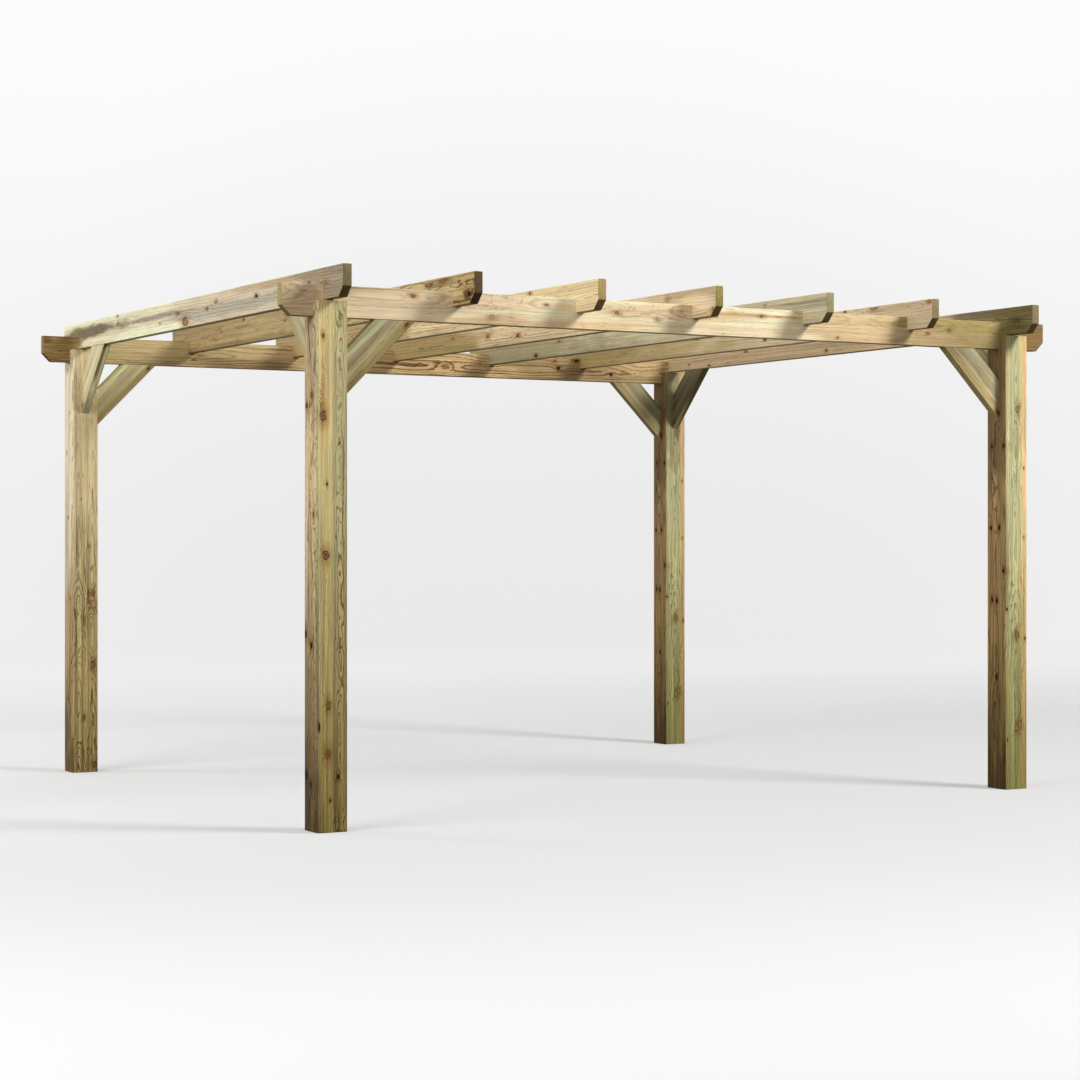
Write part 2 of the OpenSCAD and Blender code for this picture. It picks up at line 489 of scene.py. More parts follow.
def timber_wood(node, looks, seed):
    looks = {**PLAIN, **looks}
    half = half_size(node)
    material = bpy.data.materials.new(node + "_wood")
    material.use_nodes = True
    tree = material.node_tree
    shader = tree.nodes["Principled BSDF"]
    shader.inputs["Specular IOR Level"].default_value = SPECULAR

    axes = grain_axes(node)
    coordinates = tree.nodes.new("ShaderNodeTexCoord").outputs
    turned = tree.nodes.new("ShaderNodeMapping")
    turned.vector_type = "TEXTURE"
    turned.inputs["Location"].default_value = centre(node)
    turned.inputs["Rotation"].default_value = axes.to_euler()
    plug(tree, turned.inputs["Vector"], coordinates["Object"])
    point = turned.outputs["Vector"]
    draw = random.Random(looks.get("seed", seed))
    shift = tuple(draw.uniform(-40, 40) for _ in range(3))
    moved = vector(tree, "ADD", point, shift)

    wobble = noise(tree, moved, (50.0, 80.0, 80.0), detail=2.0)
    signs = {"Push": 0.0, "Cover": 0.0, "Paint": paint(120, 84, 54), "Halo": 0.0}
    for face, along, across, radius, kind, lean in looks["knots"]:
        axis, side = "xyz".index(face[0]), 1 if face[1] == "+" else -1
        heading = Vector((lean, 0, 0))
        heading[axis] = side
        heading.normalize()
        start = Vector((along, across, across))
        start[axis] = side * half[axis]
        start -= heading * (ROOT_IN_POST if family(node) == "post" else ROOT_IN_BOARD)
        inside, rim, tone, stretch = KNOT_KINDS[kind]
        made = use(tree, knot, Point=point, Wobble=wobble, Start=start, Heading=heading,
                   Radius=radius, Stretch=stretch, Tone=tone, Inside=paint(*inside),
                   Rim=paint(*rim), **signs)
        signs = {label: made[label] for label in signs}

    ragged = noise(tree, moved, (4.0, 18.0, 18.0), detail=3.0)
    early, late = wood_tone(*looks["tone"])
    for region in looks["patches"]:
        laid = use(tree, patch, Point=point, Ragged=ragged, Early=early, Late=late, **region)
        early, late = laid["Early"], laid["Late"]

    grown = use(tree, rings, Point=point, Pith=(0, *looks["pith"]), Twin=(0, *looks["twin"]),
                Ring_Width=looks["rings"], Sway=looks["sway"], Figure=looks["figure"],
                Taper=looks["taper"], Push=signs["Push"], Shift=shift)
    facing = vector(tree, "DOT_PRODUCT", coordinates["Normal"], tuple(axes.col[0]))
    end = ramp(tree, calc(tree, "ABSOLUTE", facing), 0.4, 0.65)
    # Painted shade for faces that look downwards: undersides and slanted cuts.
    down = ramp(tree, vector(tree, "DOT_PRODUCT", coordinates["Normal"], (0, 0, -1)), 0.4, 0.68)
    made = use(tree, tint, Point=point, Shift=shift, Latewood=grown["Latewood"], End_Grain=end,
               Cover=signs["Cover"], Paint=signs["Paint"], Halo=signs["Halo"], Early=early,
               Late=late, Grain=looks["grain"], Blotch=looks["blotch"], Foot=paint(*looks["foot"]),
               Wet=1.0 if family(node) == "post" else 0.0, End=paint(*looks["end"]),
               Underside=down if family(node) != "brace" else 0.0)
    plug(tree, shader.inputs["Base Color"], made["Color"])
    roughness = ramp(tree, made["Fibre"], -0.3, 0.3, ROUGH_LOW, ROUGH_HIGH)
    plug(tree, shader.inputs["Roughness"], roughness)
    bump = tree.nodes.new("ShaderNodeBump")
    bump.inputs["Strength"].default_value = 0.5
    bump.inputs["Distance"].default_value = BUMP_DEPTH
    plug(tree, bump.inputs["Height"], made["Height"])
    plug(tree, shader.inputs["Normal"], bump.outputs["Normal"])
    return material


print("roughness", ROUGH_LOW, "to", ROUGH_HIGH)

# %% [markdown]
# ## Looks of the posts
#
# The front left post is straw and grey-green on its front and pinkish on its left side.
# Both right posts come from one log: brown heartwood to the left, pale green sapwood in
# front and orange heartwood along the right. The back right one is painted darker, most of
# all at its top, as painted shade. The back left post is creamy on its left side and has two
# rows of arches in front. All are darkest at the foot, partly as their damp feet's own tone
# and partly as painted shade.

# %% Posts
HALF_POST = round(half_size("post_front_left")[1], 4)
print("half a post:", HALF_POST, "m")
STRAW = (208, 189, 132, 1.4)
SAGE = (176, 165, 121, 1.9)
PINKISH = (232, 207, 162, 1.2)
BROWN = (180, 150, 103, 2.0)
CREAM = (233, 218, 184)


def left_skin(tone):
    """The left side of a post has a tone of its own, only some millimetres deep."""
    return stripe("y", -1.0, 0.006 - HALF_POST, tone, 0.002)


def left_side(along, reach, tone, edge):
    """A stretch of the left side."""
    return spot((along, -HALF_POST, 0), (reach, 0.005, ANY), tone, edge)


# %% Right posts
RIGHT_KNOTS = (
    *on("z-", (0.807, 0.011, 0.015, "grey"), (-0.38, 0.006, 0.011, "curl"),
        (-0.866, 0.006, 0.011, "loop"), (-0.85, 0.026, 0.011, "loop"),
        (0.253, -0.006, 0.005, "pale"), (-0.246, -0.061, 0.005, "dark"),
        (0.496, 0.052, 0.005), (-0.4, 0.061, 0.006), (0.13, 0.05, 0.005, "orange")),
    *on("y-", (0.783, -0.017, 0.009, "dark"), (0.612, 0.036, 0.009, "dark"),
        (0.611, -0.058, 0.009, "dark"), (0.182, 0.043, 0.009, "dark"),
        (0.183, -0.024, 0.009, "dark"), (-0.197, 0.034, 0.009, "dark"),
        (-0.201, -0.004, 0.01, "dark"), (-0.603, 0.001, 0.008, "dark"),
        (-0.043, -0.058, 0.009, "dark")),
    *on("z-", (0.42, 0.004, 0.014, "eye"), (-0.12, 0.005, 0.016, "eye"),
        (-0.93, -0.058, 0.004, "dark"), (-0.62, 0.02, 0.016, "eye")),
    *on("y+", (0.55, 0.02, 0.012), (-0.35, -0.03, 0.01, "dark")),
    *on("z+", (0.3, -0.02, 0.014), (-0.52, 0.03, 0.01, "dark")),
    *on("y-", (0.37, 0.012, 0.016, "eye")))


def right_post(painted_light):
    """Both right posts come from one log. The back one is painted darker, its top most of all, as
    painted shade.
    """
    sap = (201 * painted_light, 198 * painted_light, 147 * painted_light, 1.3)
    amber = (230 * painted_light ** 2, 196 * painted_light ** 2, 136 * painted_light ** 2, 0.8)
    top = (180 * painted_light ** 5, 175 * painted_light ** 5, 129 * painted_light ** 5, 1.2)
    return dict(
        seed=7, pith=(-0.002, -0.064), twin=(-0.052, 0.01), sway=0.065,
        figure=0.5, taper=0.025, tone=sap, grain=0.9, blotch=0.45, foot=(196, 193, 162),
        patches=(
            spot((1.05, 0, 0), (0.45, ANY, ANY), top, 0.5),
            stripe("y", 0.037, 1.0, amber, 0.006),
            spot((1.05, 0.056, 0), (0.35, 0.019, ANY), (204, 170, 118), 0.5),
            spot((-0.2, 0.008, 0), (0.9, 0.016, ANY), (206, 192, 142), 0.5, 0.7),
            spot((0.55, 0.004, 0), (0.22, 0.008, ANY), (166, 160, 118), 0.5, 0.8),
            left_skin(BROWN),
            left_side(0.9, 0.55, (138, 113, 76, 1.5), 0.4),
            spot((0.37, -HALF_POST, 0.01), (0.1, 0.005, 0.018), (190, 162, 114, 3.0), 0.4),
            left_side(-1.3, 0.45, (112, 89, 62, 1.3), 0.5)),
        knots=RIGHT_KNOTS)


# The back right post's lower light level is painted shade, and it grows fastest at the top.
LOOKS = {"post_front_right": right_post(1.0), "post_back_right": right_post(0.96)}
print(len(RIGHT_KNOTS), "knots on each right post")

# %% Left posts
LOOKS["post_front_left"] = dict(
    pith=(0.035, -0.06), rings=0.0062, figure=0.75, taper=0.012,
    tone=STRAW, grain=1.05, blotch=0.5, foot=(170, 164, 132),
    patches=(
        stripe("y", 0.004, 1.0, SAGE, 0.007),
        spot((-0.75, 0.044, 0), (0.6, 0.036, ANY), (194, 176, 124, 2.6), 0.5),
        spot((0.78, -0.047, 0), (0.13, 0.009, ANY), (146, 98, 62, 1.2), 0.9),
        spot((-0.15, -0.02, 0), (0.55, 0.016, ANY), (198, 184, 118, 2.0), 0.4, 0.6),
        spot((0.85, -0.04, 0), (0.3, 0.018, ANY), (196, 168, 114), 0.5, 0.5),
        left_skin(PINKISH),
        left_side(1.1, 0.45, (190, 166, 128, 1.3), 0.4),
        spot((0, -HALF_POST, -HALF_POST), (ANY, 0.008, 0.022), (208, 196, 144), 0.3),
        spot((-0.718, -HALF_POST, -HALF_POST), (0.03, 0.012, 0.012), (58, 46, 26), 0.2),
        left_side(-0.75, 0.45, (190, 166, 130, 1.3), 0.5),
        left_side(-1.3, 0.4, (140, 118, 92, 1.3), 0.5)),
    knots=(
        *on("z-", (1.03, -0.046, 0.008), (0.673, -0.045, 0.017), (0.368, -0.028, 0.005, "dark"),
            (0.05, -0.033, 0.016), (-0.622, -0.021, 0.011, "curl"),
            (-0.84, -0.023, 0.016, "orange"), (-1.047, -0.013, 0.005, "dark"),
            (0.554, 0.032, 0.005), (-0.364, 0.038, 0.005), (-0.942, 0.028, 0.007, "dark")),
        *(branch("z-", along, 0.035, 0.007, "arch")
          for along in (1.17, 1.08, 0.93, 0.77, 0.3, -0.52)),
        *on("z-", (0.79, -0.043, 0.012, "eye"), (1.12, 0.034, 0.004, "feather"),
            (0.9, 0.035, 0.004, "feather"), (-1.13, 0.026, 0.012, "eye")),
        *on("y-", (0.767, -0.004, 0.012), (0.721, 0.047, 0.009, "dark"), (0.231, -0.024, 0.01),
            (-0.304, 0.06, 0.014, "dark"), (-0.354, -0.004, 0.011, "dark"),
            (-0.941, 0.053, 0.014, "dark"), (-0.979, 0.002, 0.01, "dark")),
        *on("y+", (0.45, 0.01, 0.013), (-0.6, -0.02, 0.01, "dark")),
        *on("z+", (0.72, 0.02, 0.014), (-0.15, -0.03, 0.01, "dark"))))
LOOKS["post_back_left"] = dict(
    pith=(-0.041, -0.062), twin=(0.041, -0.06), sway=0.055, figure=0.5,
    taper=0.06, tone=(200, 182, 131, 2.1), grain=1.0, foot=(215, 205, 180),
    patches=(
        spot((0.95, 0, 0), (0.85, ANY, ANY), (220, 200, 152, 0.4), 0.4),
        left_skin(CREAM),
        left_side(-0.55, 0.5, (200, 174, 134), 0.5),
        left_side(-1.3, 0.5, (138, 120, 82, 1.2), 0.6)),
    knots=(
        *on("z-", (0.084, 0.022, 0.007, "orange"), (0.349, -0.025, 0.004, "pale"),
            (-0.053, -0.041, 0.016, "eye"), (-0.182, 0.043, 0.012, "curl"),
            (-0.243, 0.047, 0.015, "loop"), (-0.331, -0.007, 0.008, "curl"),
            (-0.459, -0.045, 0.018, "eye"), (-0.589, 0.043, 0.014, "curl"),
            (-0.98, -0.045, 0.016, "eye"), (-1.04, 0.045, 0.016, "eye"),
            (-0.882, -0.007, 0.008, "curl"), (-1.15, 0.055, 0.01, "curl")),
        *on("y-", (1.077, 0.016, 0.006), (0.837, -0.017, 0.005), (0.613, 0.036, 0.006),
            (0.244, 0.007, 0.006), (-0.21, -0.019, 0.006, "dark"), (-0.572, -0.044, 0.006, "dark"),
            (-0.676, -0.05, 0.006), (-0.778, 0.012, 0.006, "dark")),
        *on("y+", (0.62, 0.02, 0.012), (-0.25, -0.03, 0.013, "dark")),
        *on("z+", (0.35, 0.02, 0.014), (-0.7, -0.02, 0.011, "dark"))))
print("looks of", ", ".join(LOOKS))

# %% [markdown]
# ## Looks of the beams
#
# The front beam is the palest timber, with soft arches in its upper half and a green,
# preservative-soaked right end. The back beam is brown with bold lines round its knots.

# %% Beams
LOOKS["beam_front"] = dict(
    pith=(0.004, 0.036), figure=0.1, taper=0.01,
    tone=(250, 229, 188, 0.5), grain=0.55, blotch=0.3, end=(185, 169, 107),
    patches=(
        short_of(-1.25, (232, 208, 168, 0.8), 0.2),
        stripe("z", -1.0, -0.012, (240, 218, 178, 0.4), 0.012, 0.7),
        through(-1.1, -0.055, 0.22, 0.03, (212, 184, 142, 0.5), 0.5),
        through(-0.6, -0.05, 0.35, 0.02, (236, 202, 152, 0.5), 0.5, 0.8),
        through(-0.15, 0.03, 0.4, 0.04, (230, 206, 164, 1.4), 0.3),
        through(0.95, 0.03, 0.35, 0.04, (226, 202, 158, 1.9), 0.3),
        through(-1.1, 0.035, 0.35, 0.035, (236, 212, 172, 1.8), 0.3),
        through(0.3, 0.036, 0.5, 0.007, (200, 158, 118), 0.6, 0.8),
        through(1.0, 0.024, 0.09, 0.007, (186, 142, 100), 0.2),
        past(0.72, (212, 186, 141, 0.9), 0.15),
        past(1.25, (184, 160, 115), 0.14),
        through(1.85, 0, 0.28, ANY, (166, 145, 98), 0.4),
        through(1.7, 0.045, 0.52, 0.045, (158, 143, 90, 2.4), 0.3, 0.8),
        short_of(-2.02, (196, 171, 137, 1.1), 0.02),
        past(2.03, (138, 110, 70, 1.2), 0.03)),
    knots=on("y-", (-1.544, 0.042, 0.01, "grey", 0.05), (-1.134, -0.038, 0.01, "pale", 0.05),
        (-0.84, 0.036, 0.006, "grey", 0.4), (-0.453, 0.015, 0.009, "grey", 0.1),
        (-0.223, -0.007, 0.009, "pale", 0.0), (0.388, 0.036, 0.009, "grey", 0.1),
        (1.427, -0.007, 0.006), (1.565, 0.015, 0.008, "grey"), (-0.248, 0.034, 0.022, "eye"),
        (-1.048, 0.042, 0.018, "eye"), (-1.301, 0.03, 0.016, "eye"), (0.85, -0.052, 0.005),
        (1.02, 0.024, 0.02, "eye"), (0.2, 0.04, 0.018, "eye"), (-1.95, -0.03, 0.005),
        (1.74, 0.046, 0.022, "eye"), (-2.05, 0.036, 0.018, "eye")))
LOOKS["beam_back"] = dict(
    pith=(-0.002, -0.006), rings=0.013, sway=0.075, figure=0.22, taper=0.006,
    tone=(214, 182, 129, 1.9), grain=1.0, blotch=0.5, end=(146, 124, 80),
    patches=(
        short_of(-0.6, (200, 177, 128, 0.4), 0.3),
        through(-1.1, -0.04, 0.45, 0.04, (164, 140, 98, 1.2), 0.5),
        past(0.78, (170, 144, 101, 1.7), 0.15),
        past(1.5, (196, 168, 122, 1.6), 0.15),
        short_of(-2.0, (158, 130, 82, 1.3), 0.05),
        through(-2.18, 0.045, 0.03, 0.02, (110, 72, 40), 0.5, 0.7)),
    knots=on("y-", (0.336, -0.012, 0.011, "dark"), (1.133, 0.003, 0.009, "dark"),
        (1.267, 0.054, 0.009, "dark"), (1.517, -0.024, 0.009, "dark"), (1.109, 0.046, 0.008),
        (0.62, 0.04, 0.018, "eye"), (1.72, 0.02, 0.022, "eye"), (0.33, -0.012, 0.014, "eye"),
        (-1.3, -0.03, 0.006), (-0.1, 0.05, 0.006, "dark")))
print("front beam has", len(LOOKS["beam_front"]["patches"]), "patches")

# %% [markdown]
# ## Looks of the rafters
#
# Seven boards from seven trees: a cream one with a blue-grey stain, a boldly figured dark
# one, pale straw ones, a grey-green one, pinkish ones, and an olive one that turns pinkish.

# %% Rafters 1 and 2
LOOKS["rafter_1"] = dict(
    pith=(0.03, 0.012), rings=0.0105, sway=0.055, taper=0.006, tone=(229, 218, 181, 0.8),
    grain=0.6, blotch=0.35, end=(131, 119, 83),
    patches=(
        short_of(0.2, (222, 205, 172), 0.15),
        through(0.95, 0.06, 1.0, 0.03, (232, 225, 186, 0.7), 0.2),
        through(0.5, -0.052, 0.55, 0.032, (246, 240, 202, 0.6), 0.15),
        through(-0.6, -0.014, 0.85, 0.034, (194, 184, 160, 1.1), 0.25),
        through(0.45, 0.014, 0.42, 0.016, (166, 154, 132), 0.3),
        through(1.5, 0.012, 0.55, 0.03, (126, 112, 84, 1.7), 0.45),
        through(1.72, -0.03, 0.1, 0.022, (168, 150, 116, 1.6), 0.6),
        through(-1.05, 0.058, 0.55, 0.02, (198, 174, 138), 0.4),
        short_of(-1.42, (170, 153, 126, 1.3), 0.12)),
    knots=on("y+", (1.001, 0.067, 0.008, "sound", -0.2), (0.995, 0.023, 0.01, "grey", -0.2),
        (0.361, -0.025, 0.005, "sound", 0), (0.003, -0.042, 0.022, "curl", 0.5),
        (-0.289, 0.0, 0.01, "grey", 0.3), (-0.407, 0.025, 0.01, "orange"),
        (-0.914, 0.01, 0.009, "dark"), (-1.521, 0.019, 0.006), (0.106, 0.007, 0.008, "curl"),
        (-1.68, 0.0, 0.009, "feather"), (1.42, 0.03, 0.016, "eye"), (1.74, 0.004, 0.014, "eye"),
        (0.72, 0.02, 0.014, "eye")))
LOOKS["rafter_2"] = dict(
    pith=(0.05, 0.03), twin=(0.05, -0.04), rings=0.012, sway=0.1, figure=0.35,
    tone=(208, 184, 134), grain=0.9, end=(96, 78, 48),
    patches=(
        past(-0.3, (178, 157, 112, 0.5), 0.5),
        past(0.8, (166, 142, 98, 0.5), 0.3),
        short_of(-0.7, (206, 184, 132, 2.3), 0.2),
        through(-1.55, 0.045, 0.16, 0.02, (160, 136, 98, 1.4), 0.3),
        short_of(-1.7, (184, 158, 104, 2.3), 0.05),
        past(1.65, (160, 140, 96, 0.6), 0.1)),
    knots=on("y+", (0.812, 0.059, 0.007, "dark"), (-1.575, 0.052, 0.01, "curl"),
        (-1.833, -0.026, 0.012, "dark"), (-1.43, 0.048, 0.01, "curl"), (-1.2, 0.01, 0.016, "eye"),
        (-0.3, -0.04, 0.008, "dark"), (0.25, 0.01, 0.006)))
print("rafter_1 has", len(LOOKS["rafter_1"]["patches"]), "patches")

# %% Rafters 3 to 5
LOOKS["rafter_3"] = dict(
    pith=(0.034, -0.01), rings=0.0085, tone=(237, 214, 166, 0.9),
    grain=0.75, blotch=0.3, end=(184, 156, 104),
    patches=(past(0.0, (186, 160, 110, 0.8), 0.4),),
    knots=on("y+", (-1.232, 0.058, 0.009, "grey"), (0.6, -0.03, 0.008, "dark"),
        (-0.25, 0.02, 0.007), (1.3, 0.03, 0.008, "dark")))
LOOKS["rafter_4"] = dict(
    pith=(0.03, -0.022), rings=0.0105, sway=0.07, taper=0.005, tone=(228, 205, 162, 0.8),
    blotch=0.35, end=(162, 146, 84),
    patches=(
        short_of(-1.35, (203, 181, 140), 0.15),
        through(-1.68, -0.005, 0.28, 0.045, (232, 210, 172), 0.4),
        past(0.55, (178, 152, 102, 0.7), 0.25),
        through(0.9, -0.05, 0.5, 0.03, (168, 152, 100), 0.5, 0.7)),
    knots=on("y+", (-1.455, 0.041, 0.01, "pale", 0), (-1.862, -0.041, 0.009, "orange"),
        (0.421, -0.009, 0.01), (0.074, -0.028, 0.012), (0.85, 0.01, 0.006),
        (-0.6, 0.03, 0.008, "grey")))
LOOKS["rafter_5"] = dict(
    pith=(0.05, 0.028), sway=0.045, taper=0.003, tone=(206, 194, 158, 0.7),
    grain=0.65, blotch=0.35, end=(164, 155, 112),
    patches=(
        through(-1.75, 0.04, 0.3, 0.01, (164, 158, 132), 0.3),
        through(-1.75, 0.012, 0.28, 0.008, (172, 166, 138), 0.3),
        past(0.3, (172, 160, 121, 0.7), 0.5)),
    knots=on("y+", (1.037, -0.052, 0.01, "dark"), (0.762, 0.013, 0.006),
        (-0.7, 0.03, 0.007, "pale"), (-1.35, 0.05, 0.007, "pale")))
print(len(LOOKS), "timbers so far")

# %% Rafters 6 and 7
LOOKS["rafter_6"] = dict(
    pith=(0.034, 0.046), rings=0.0105, sway=0.07, tone=(222, 202, 165, 0.9),
    end=(146, 132, 94),
    patches=(
        short_of(-1.5, (212, 190, 154), 0.1),
        past(0.0, (200, 176, 126, 0.8), 0.4),
        past(0.9, (178, 154, 102, 0.8), 0.3)),
    knots=on("y+", (-1.859, 0.059, 0.011, "orange"), (-1.148, 0.064, 0.006, "dark"),
        (-1.4, 0.058, 0.008, "feather"), (0.3, 0.02, 0.007), (-0.4, -0.03, 0.008, "dark")))
LOOKS["rafter_7"] = dict(
    pith=(0.04, 0.02), rings=0.01, sway=0.06, taper=0.005, tone=(214, 187, 146, 0.9),
    end=(142, 129, 91),
    patches=(
        short_of(-1.25, (138, 124, 90, 1.1), 0.12),
        short_of(-1.6, (123, 109, 68, 1.3), 0.1),
        through(-1.76, -0.005, 0.06, 0.028, (86, 80, 48), 0.7)),
    knots=on("y+", (-1.756, -0.022, 0.01, "grey"), (0.753, 0.002, 0.008), (-0.077, -0.046, 0.008),
        (1.159, -0.058, 0.006, "dark"), (1.389, -0.038, 0.005), (-0.7, 0.02, 0.006)))
print(len(LOOKS), "timbers so far")

# %% [markdown]
# ## Looks of the braces
#
# The braces are sawn from one board and lie the same way up: a tan lower third, a straw
# line, a grey-brown band of heartwood, then a pale green band and an olive upper edge.
# The bands are stripes across the width, measured from the lower edge, where the middle
# of a brace's box lies. From brace to brace only the shade differs: a fade towards pale
# grey-green, and a light level that paints each copy lighter or darker, as painted light
# and shade.

# %% Braces
PALE_GREEN = (196, 190, 152)


def brace_looks(node, painted_light, fade=0.0):
    """Looks of one brace; its light level paints it lighter or darker as painted light and shade,
    and fade draws its bands towards one pale grey-green.
    """
    up = 1 if grain_axes(node).col[2].z > 0 else -1
    front = "y-" if up == 1 else "y+"

    def shade(*tone):
        faded = [value + (pale - value) * fade for value, pale in zip(tone, PALE_GREEN)]
        return (*(value * painted_light for value in faded), 0.9)

    def band(low, high, tone, edge=0.008):
        """A stripe between two heights over the brace's lower edge."""
        return stripe("z", *sorted((up * low, up * high)), tone, edge)

    return dict(
        pith=(0.09, up * 0.085), sway=0.03, taper=0.01, tone=shade(210, 192, 143),
        grain=0.5, blotch=0.5, end=(112, 100, 68),
        patches=(
            band(-0.1, 0.04, shade(190, 170, 116)),
            band(0.062, 0.104, shade(178, 161, 124), 0.012),
            band(0.104, 0.132, shade(198, 196, 152), 0.012),
            band(0.134, 0.3, shade(172, 164, 114))),
        knots=on(front, (up * 0.215, up * 0.018, 0.008)))


# Each brace's light level is painted light and shade, not a tone of its wood.
for node, painted_light, fade in (
        ("brace_front_left_beam", 1.0, 0.0), ("brace_front_right_beam", 0.89, 0.1),
        ("brace_back_left_beam", 1.17, 0.2), ("brace_back_right_beam", 0.84, 0.1),
        ("brace_front_left_rafter", 0.95, 0.3), ("brace_front_right_rafter", 0.92, 0.0),
        ("brace_back_left_rafter", 1.08, 0.65), ("brace_back_right_rafter", 0.62, 0.0)):
    LOOKS[node] = brace_looks(node, painted_light, fade)
print("looks of", len(LOOKS), "timbers")

# %% [markdown]
# ## Easing the timbers
#
# The imported timbers have eased long edges but knife-sharp ends. Real ends are knocked off
# with a plane or sandpaper, so each timber is copied, its triangles are merged into plain
# faces, and, on every timber but the braces, the sharp edges round its ends get a small
# bevel. Bevelling every edge would also open the joints, so only ends are eased.

# %% Copy a timber and ease its ends
EASE = 0.0022
END_ZONE = 0.06


def choose(piece):
    bpy.ops.object.select_all(action="DESELECT")
    piece.select_set(True)
    bpy.context.view_layer.objects.active = piece


def copy_timber(node):
    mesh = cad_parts[node].data.copy()
    piece = bpy.data.objects.new(node + "_timber", mesh)
    bpy.context.scene.collection.objects.link(piece)
    choose(piece)
    bpy.ops.object.mode_set(mode="EDIT")
    bpy.ops.mesh.select_all(action="SELECT")
    bpy.ops.mesh.remove_doubles(threshold=0.00001)
    bpy.ops.mesh.dissolve_limited(angle_limit=math.radians(1))
    bpy.ops.mesh.select_all(action="DESELECT")
    bpy.ops.object.mode_set(mode="OBJECT")
    return piece


def sharp_end_edges(piece, node):
    """Marks the sharp edges near both ends that bound an end face."""
    mesh = piece.data
    grain, middle = grain_axes(node).col[0], centre(node)
    length = half_size(node)[0]
    sides = {}
    for face in mesh.polygons:
        for key in face.edge_keys:
            sides.setdefault(key, []).append(face.normal)
    found = 0
    for edge in mesh.edges:
        normals = sides.get(edge.key, [])
        places = [(mesh.vertices[v].co - middle).dot(grain) for v in edge.vertices]
        near = min(abs(p) for p in places) > length - END_ZONE
        ends = [abs(n.dot(grain)) > 0.5 for n in normals]
        edge.select = near and len(normals) == 2 and any(ends) and normals[0].dot(normals[1]) < 0.8
        found += edge.select
    return found


def ease_ends(piece, node):
    bpy.context.tool_settings.mesh_select_mode = (False, True, False)
    count = sharp_end_edges(piece, node)
    choose(piece)
    bpy.ops.object.mode_set(mode="EDIT")
    bpy.ops.mesh.bevel(offset=EASE, offset_type="OFFSET", segments=2, affect="EDGES")
    bpy.ops.object.mode_set(mode="OBJECT")
    return count


pieces = {}
for node in timbers:
    pieces[node] = copy_timber(node)
    eased = ease_ends(pieces[node], node) if family(node) != "brace" else 0
    print(node, "eased", eased, "edges,", len(pieces[node].data.polygons), "faces")

# %% [markdown]
# ## Drying cracks and chipped arrises
#
# Thick timber dries from the outside and splits along the grain in short cracks that lie
# end to end, slightly out of line. Each is cut with a long thin spindle: a ball drawn out
# along the grain, widest and deepest in its middle, taken away with a boolean. Painting
# dark lines would be easier, but a real crack has an edge and a shadow of its own. A dead
# knot that fell out at an arris leaves a scooped bite, which a shorter, fatter ball cuts.

# %% Cut cracks
CRACK_WIDTH = 0.0028
CRACK_DEPTH = 0.016
CRACK_STRAY = 0.0025


def cut_ball(node, middle, size):
    """Takes a drawn-out ball away from a timber. Place and size are on the timber's axes."""
    bpy.ops.object.select_all(action="DESELECT")
    bpy.ops.mesh.primitive_uv_sphere_add(
        segments=16, ring_count=10, radius=1.0, location=to_frame(node, middle),
        rotation=grain_axes(node).to_euler(), scale=size)
    cutter = bpy.context.object
    cut = pieces[node].modifiers.new("cut", "BOOLEAN")
    cut.operation = "DIFFERENCE"
    cut.solver = "EXACT"
    cut.object = cutter
    choose(pieces[node])
    bpy.ops.object.modifier_apply(modifier=cut.name)
    spent = cutter.data
    bpy.data.objects.remove(cutter)
    bpy.data.meshes.remove(spent)


def crack(node, face, along, across, length, parts, seed):
    """A chain of short cracks on one face of a timber."""
    draw = random.Random(seed)
    half = half_size(node)
    axis, side = "xyz".index(face[0]), 1 if face[1] == "+" else -1
    step = length / parts
    for part in range(parts):
        middle = Vector((along + (part - (parts - 1) / 2) * step, across, across))
        middle[3 - axis] += draw.uniform(-CRACK_STRAY, CRACK_STRAY)
        middle[axis] = side * half[axis]
        size = Vector((step * 0.62, CRACK_WIDTH / 2, CRACK_WIDTH / 2)) * draw.uniform(0.85, 1.1)
        size[axis] = CRACK_DEPTH
        cut_ball(node, middle, size)


CRACKS = {
    "post_front_left": (
        ("z-", -1.13, 0.012, 0.16, 2), ("z-", -1.15, 0.03, 0.1, 1), ("z-", 0.2, 0.052, 0.7, 3),
        ("y-", 0.75, 0.02, 0.5, 2), ("y+", 0.1, -0.01, 1.1, 4), ("z+", 0.55, 0.015, 0.9, 3)),
    "post_back_left": (
        ("z-", 0.45, -0.054, 1.0, 4), ("z-", -0.5, -0.052, 0.6, 2),
        ("y+", -0.2, 0.01, 1.2, 4), ("z+", 0.3, 0.0, 0.8, 3)),
    "post_front_right": (
        ("y+", 0.35, 0.015, 1.1, 4), ("z+", -0.3, 0.02, 0.9, 3), ("y-", -0.95, 0.02, 0.35, 2)),
    "post_back_right": (("z+", 0.15, -0.012, 1.3, 4), ("y+", -0.45, 0.02, 0.8, 3)),
    "rafter_3": (("y+", -1.86, -0.004, 0.06, 1),),
    "rafter_6": (("y-", -1.84, 0.01, 0.1, 1),),
    "beam_back": (("y+", 1.6, 0.01, 0.45, 2),)}
BITES = (
    ("post_front_left", (-0.718, -0.0735, -0.0735), (0.034, 0.011, 0.01)),
    ("post_front_right", (-0.247, -0.0735, -0.074), (0.016, 0.006, 0.006)))
cracks = [(node, *place) for node, places in CRACKS.items() for place in places]
for number, place in enumerate(cracks):
    crack(*place, seed=number)
for bite in BITES:
    cut_ball(*bite)
print("cut", sum(place[-1] for place in cracks), "cracks and", len(BITES), "bites")

# %% [markdown]
# ## Wood on every timber
#
# Each copy is shaded smooth across its eased edges, gets its own wood and takes the place
# of the imported timber, which is hidden. All ride on the one body of the frame, since
# nothing on it moves.

